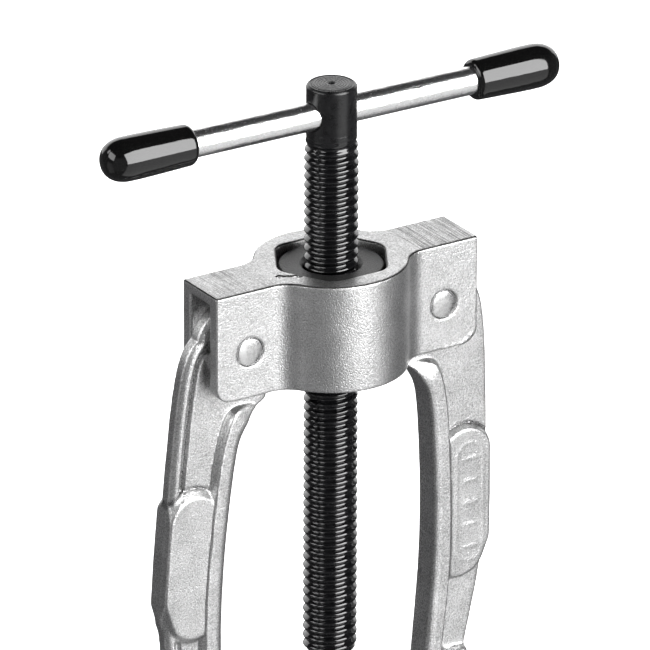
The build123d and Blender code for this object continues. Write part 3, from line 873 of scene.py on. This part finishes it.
def build_head(material):
    length = SPINDLE_HIGH.z - THREAD_TOP + 1.2
    reach = SPINDLE_HEAD_RADIUS
    x, y, z = grid((-reach, -reach, -length), (reach, reach, 0), 0.28)
    field = np.maximum(head_field(x, y, z), -length - z)
    verts, faces = skin(field, x, y, z)
    translation = Matrix.Translation((0, 0, SPINDLE_HIGH.z * MM))
    piece = mesh_piece("spindle_head", verts, faces.tolist(), material, translation)
    return place(piece, "spindle", "black_oxide", "spindle")


# ---- T-bar and caps, along the bar's axis ----

def bar_matrix(flip=False):
    """Local Z along the bar, to the right or, flipped, to the left."""
    turn = Matrix.Rotation(math.atan2(BAR_AXIS.y, BAR_AXIS.x), 4, "Z")
    tip = Matrix.Rotation(math.radians(-90 if flip else 90), 4, "Y")
    return Matrix.Translation((0, 0, BAR_Z * MM)) @ turn @ tip


BAR_END = 83.0
BAR_EDGE = 0.8


def build_bar(material):
    end = BAR_END
    outline = [(0, -end), (BAR_RADIUS - BAR_EDGE, -end), (BAR_RADIUS, BAR_EDGE - end)]
    outline += [(BAR_RADIUS, h) for h in range(-80, 81, 4)]
    outline += [(BAR_RADIUS, end - BAR_EDGE), (BAR_RADIUS - BAR_EDGE, end), (0, end)]
    piece = lathe("tommy_bar_chrome", outline, material, bar_matrix())
    return place(piece, "tommy_bar", "chrome", "tommy_bar")


CAP_MOUTH = 53.8
CAP_END = 86.9
CAP_RADIUS = 6.9
CAP_LIP = 1.9
CAP_WALL = 3.8


def cap_outline():
    """Mouth with a rolled lip, a slight flare, and a nose that narrows to a blunt end."""
    mouth, end = CAP_MOUTH, CAP_END
    inside = BAR_RADIUS + 0.02
    outline = [(0, end - CAP_WALL), (inside, end - CAP_WALL), (inside, mouth + 0.5)]
    for a in range(-40, 91, 10):
        out = CAP_LIP * math.sin(math.radians(a))
        down = CAP_LIP * math.cos(math.radians(a))
        outline.append((CAP_RADIUS - CAP_LIP + out, mouth + CAP_LIP - down))
    side = [(CAP_RADIUS, mouth + CAP_LIP), (7.1, mouth + 8.0), (7.4, end - 14.0), (7.4, end - 8.6)]
    nose = [
        (7.2, end - 6.4), (6.6, end - 4.2), (5.5, end - 2.3), (4.0, end - 1.0), (2.2, end - 0.3),
        (0.9, end - 0.05)
    ]
    return outline + curve_through(side + nose, 5)[1:] + [(0, end)]


def build_caps(material):
    for side, flip in (("left", True), ("right", False)):
        piece = lathe(f"{side}_grip_cap_vinyl", cap_outline(), material, bar_matrix(flip), 96)
        place(piece, "tommy_bar", "cap_vinyl", f"{side}_grip_cap")


# ---- carried-over CAD nodes ----

def repaint(node, material):
    """Puts a material on every slot of a CAD node that keeps its own shape."""
    data = NODES[node].data
    if not data.materials:
        data.materials.append(material)
    for i in range(len(data.materials)):
        data.materials[i] = material


# ---- camera, floor and lights: in metres, but for where the camera aims ----

VIEW_AZIMUTH = math.radians(32.59)
VIEW_ELEVATION = math.radians(23.13)
VIEW_ROLL = math.radians(0.19)
VIEW_DISTANCE = 3.841
VIEW_LENS = 647.06
AIM_LEFT = 2.0
AIM_DOWN = 22.28


def view_axes():
    """Right, up and towards the camera."""
    back = Vector((
        -math.sin(VIEW_AZIMUTH) * math.cos(VIEW_ELEVATION),
        -math.cos(VIEW_AZIMUTH) * math.cos(VIEW_ELEVATION),
        math.sin(VIEW_ELEVATION)
    ))
    right = Vector((math.cos(VIEW_AZIMUTH), -math.sin(VIEW_AZIMUTH), 0))
    up = back.cross(right)
    turned_right = right * math.cos(VIEW_ROLL) + up * math.sin(VIEW_ROLL)
    turned_up = up * math.cos(VIEW_ROLL) - right * math.sin(VIEW_ROLL)
    return turned_right, turned_up, back


def build_camera():
    right, up, back = view_axes()
    aim = Vector((0, 0, TOP * MM)) - right * AIM_LEFT * MM - up * AIM_DOWN * MM
    data = bpy.data.cameras.new("camera")
    data.lens = VIEW_LENS
    data.sensor_width = 36.0
    data.clip_start = 0.1
    data.clip_end = 50.0
    camera = bpy.data.objects.new("camera", data)
    facing = Matrix((right, up, back)).transposed().to_4x4()
    camera.matrix_world = Matrix.Translation(aim + back * VIEW_DISTANCE) @ facing
    bpy.context.scene.collection.objects.link(camera)
    bpy.context.scene.camera = camera


def build_floor():
    """A large pale table that glows a little, as a lit product table does."""
    material = bpy.data.materials.new("floor")
    material.use_nodes = True
    shader = material.node_tree.nodes["Principled BSDF"]
    shader.inputs["Base Color"].default_value = (0.85, 0.85, 0.85, 1)
    shader.inputs["Roughness"].default_value = 0.9
    shader.inputs["Emission Color"].default_value = (1, 1, 1, 1)
    shader.inputs["Emission Strength"].default_value = 0.9
    data = bpy.data.meshes.new("floor")
    half = 12.0
    corners = [(-half, -half, 0), (half, -half, 0), (half, half, 0), (-half, half, 0)]
    data.from_pydata(corners, [], [(0, 1, 2, 3)])
    data.materials.append(material)
    floor = bpy.data.objects.new("floor", data)
    bpy.context.scene.collection.objects.link(floor)
    floor.visible_glossy = False
    floor.visible_shadow = False


LIGHTS_CENTRE = 0.17


def softbox(name, azimuths, elevations, radiance, distance=2.5):
    """A flat light that fills a range of directions: azimuth 0 is in front (-Y) and 90 on the right (+X)."""
    azimuth = math.radians(sum(azimuths) / 2)
    elevation = math.radians(sum(elevations) / 2)
    half_width = math.tan(math.radians(abs(azimuths[1] - azimuths[0])) / 2) * math.cos(elevation)
    half_height = math.tan(math.radians(abs(elevations[1] - elevations[0])) / 2)
    width = 2 * distance * half_width
    height = 2 * distance * half_height
    away = Vector((
        math.sin(azimuth) * math.cos(elevation), -math.cos(azimuth) * math.cos(elevation), math.sin(elevation)
    ))
    data = bpy.data.lights.new(name, "AREA")
    data.shape = "RECTANGLE"
    data.size = width
    data.size_y = height
    data.energy = math.pi * width * height * radiance
    light = bpy.data.objects.new(name, data)
    light.matrix_world = away.to_track_quat("Z", "Y").to_matrix().to_4x4()
    light.location = away * distance + Vector((0, 0, LIGHTS_CENTRE))
    light.visible_camera = False
    bpy.context.scene.collection.objects.link(light)


def build_world():
    """Dim all round, and darker still overhead."""
    world = bpy.data.worlds.new("world")
    world.use_nodes = True
    tree = world.node_tree
    background = tree.nodes["Background"]
    coords = tree.nodes.new("ShaderNodeTexCoord")
    split = tree.nodes.new("ShaderNodeSeparateXYZ")
    ramp = tree.nodes.new("ShaderNodeValToRGB")
    tree.links.new(coords.outputs["Generated"], split.inputs["Vector"])
    tree.links.new(split.outputs["Z"], ramp.inputs["Fac"])
    tree.links.new(ramp.outputs["Color"], background.inputs["Color"])
    for element, (height, grey) in zip(ramp.color_ramp.elements, ((0.35, 0.12), (0.6, 0.04))):
        element.position = height
        element.color = (grey, grey, grey * 1.03, 1)
    bpy.context.scene.world = world


def build_lights():
    softbox("key", (-5, 41), (-3, 52), 10.0)
    softbox("key_table", (-8, 46), (-70, -3), 0.85)
    softbox("fill", (-75, -8), (-40, 30), 0.10)
    softbox("left_strip", (-116, -70), (14, 45), 4.5)
    softbox("left_table", (-116, -78), (-45, -5), 0.3)
    softbox("left_rim", (-134, -122), (24, 42), 4.0)
    softbox("backdrop", (105, 205), (-6, 33), 1.7)
    build_world()
    bpy.context.scene.view_settings.view_transform = "Standard"


# ---- the whole ----

build_camera()
build_floor()
build_lights()
build_yoke(forged("forged_steel", 0.54, 0.19, (0.34, 0.78), True))
build_jaws(forged("jaw_steel", 0.54, 0.17, (0.26, 0.76), False))
build_nut(matte_black())
build_pins(bright_pin())
build_thread(black_oxide("black_oxide_thread", 0.07, 1.62, False))
build_head(black_oxide("black_oxide_head", 0.24, 1.5, True))
build_bar(chrome())
build_caps(vinyl())
hard_steel = ground_steel("hard_steel", 0.36, 0.52, 0.22)
spring_steel = ground_steel("spring_steel", 0.05, 0.09, 0.34)
repaint("centre_tip", hard_steel)
repaint("thrust_ball", hard_steel)
repaint("tip_retaining_ring", spring_steel)
repaint("nut_retaining_ring", spring_steel)
